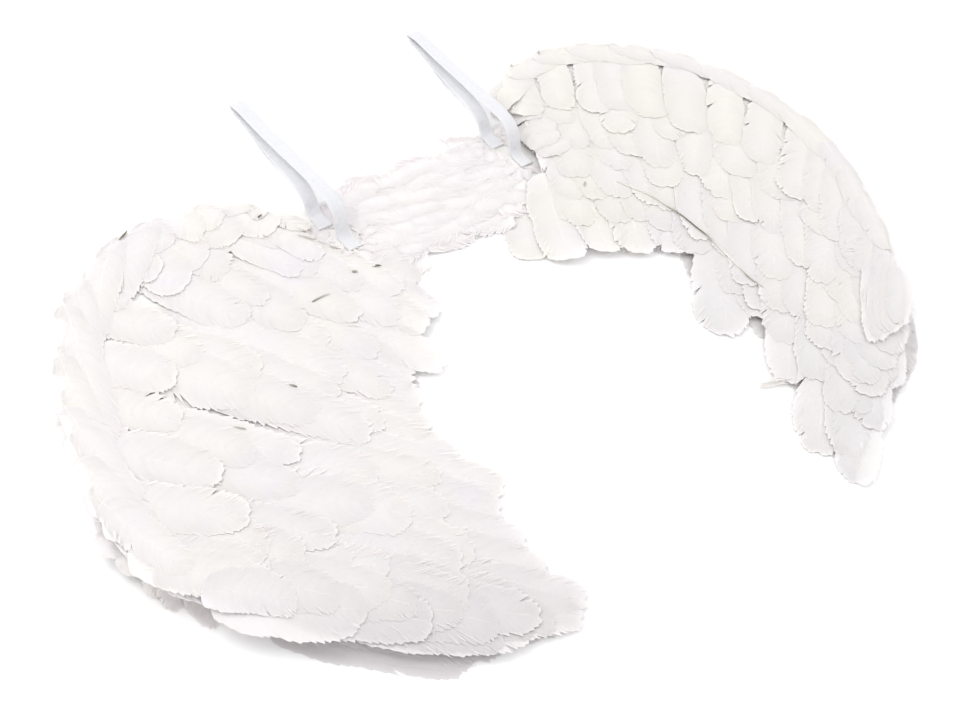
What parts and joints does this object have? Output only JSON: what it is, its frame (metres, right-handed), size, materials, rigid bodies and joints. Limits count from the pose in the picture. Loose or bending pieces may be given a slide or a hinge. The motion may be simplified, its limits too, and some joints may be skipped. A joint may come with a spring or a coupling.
{
  "type": "feather costume wings",
  "caption": "Pair of white feather costume wings on felt backings, joined by a short feathered bridge with an elastic arm loop at each side.",
  "frame": {"origin": "centre of the bounding box in plan, on the surface that the pair lies on", "axes": "+X from the wing worn on the right to the one worn on the left, +Y toward the shoulders and the arm loops, +Z away from the surface, the wearer's side"},
  "size_m": [0.6168, 0.4484, 0.0225],
  "materials": {
    "feather_white": "soft matte",
    "felt_white": "matte",
    "elastic_white": "matte woven"
  },
  "bodies": {
    "root": {"right_wing_back_feathers": "feather_white", "right_wing_backing": "felt_white", "right_wing_flight_feathers": "feather_white", "right_wing_lower_coverts": "feather_white", "right_wing_upper_coverts": "feather_white", "right_wing_edge_feathers": "feather_white", "left_wing_back_feathers": "feather_white", "left_wing_backing": "felt_white", "left_wing_flight_feathers": "feather_white", "left_wing_lower_coverts": "feather_white", "left_wing_upper_coverts": "feather_white", "left_wing_edge_feathers": "feather_white", "bridge_panel": "felt_white", "bridge_feathers": "feather_white", "right_strap": "elastic_white", "left_strap": "elastic_white"}
  },
  "joints": []
}
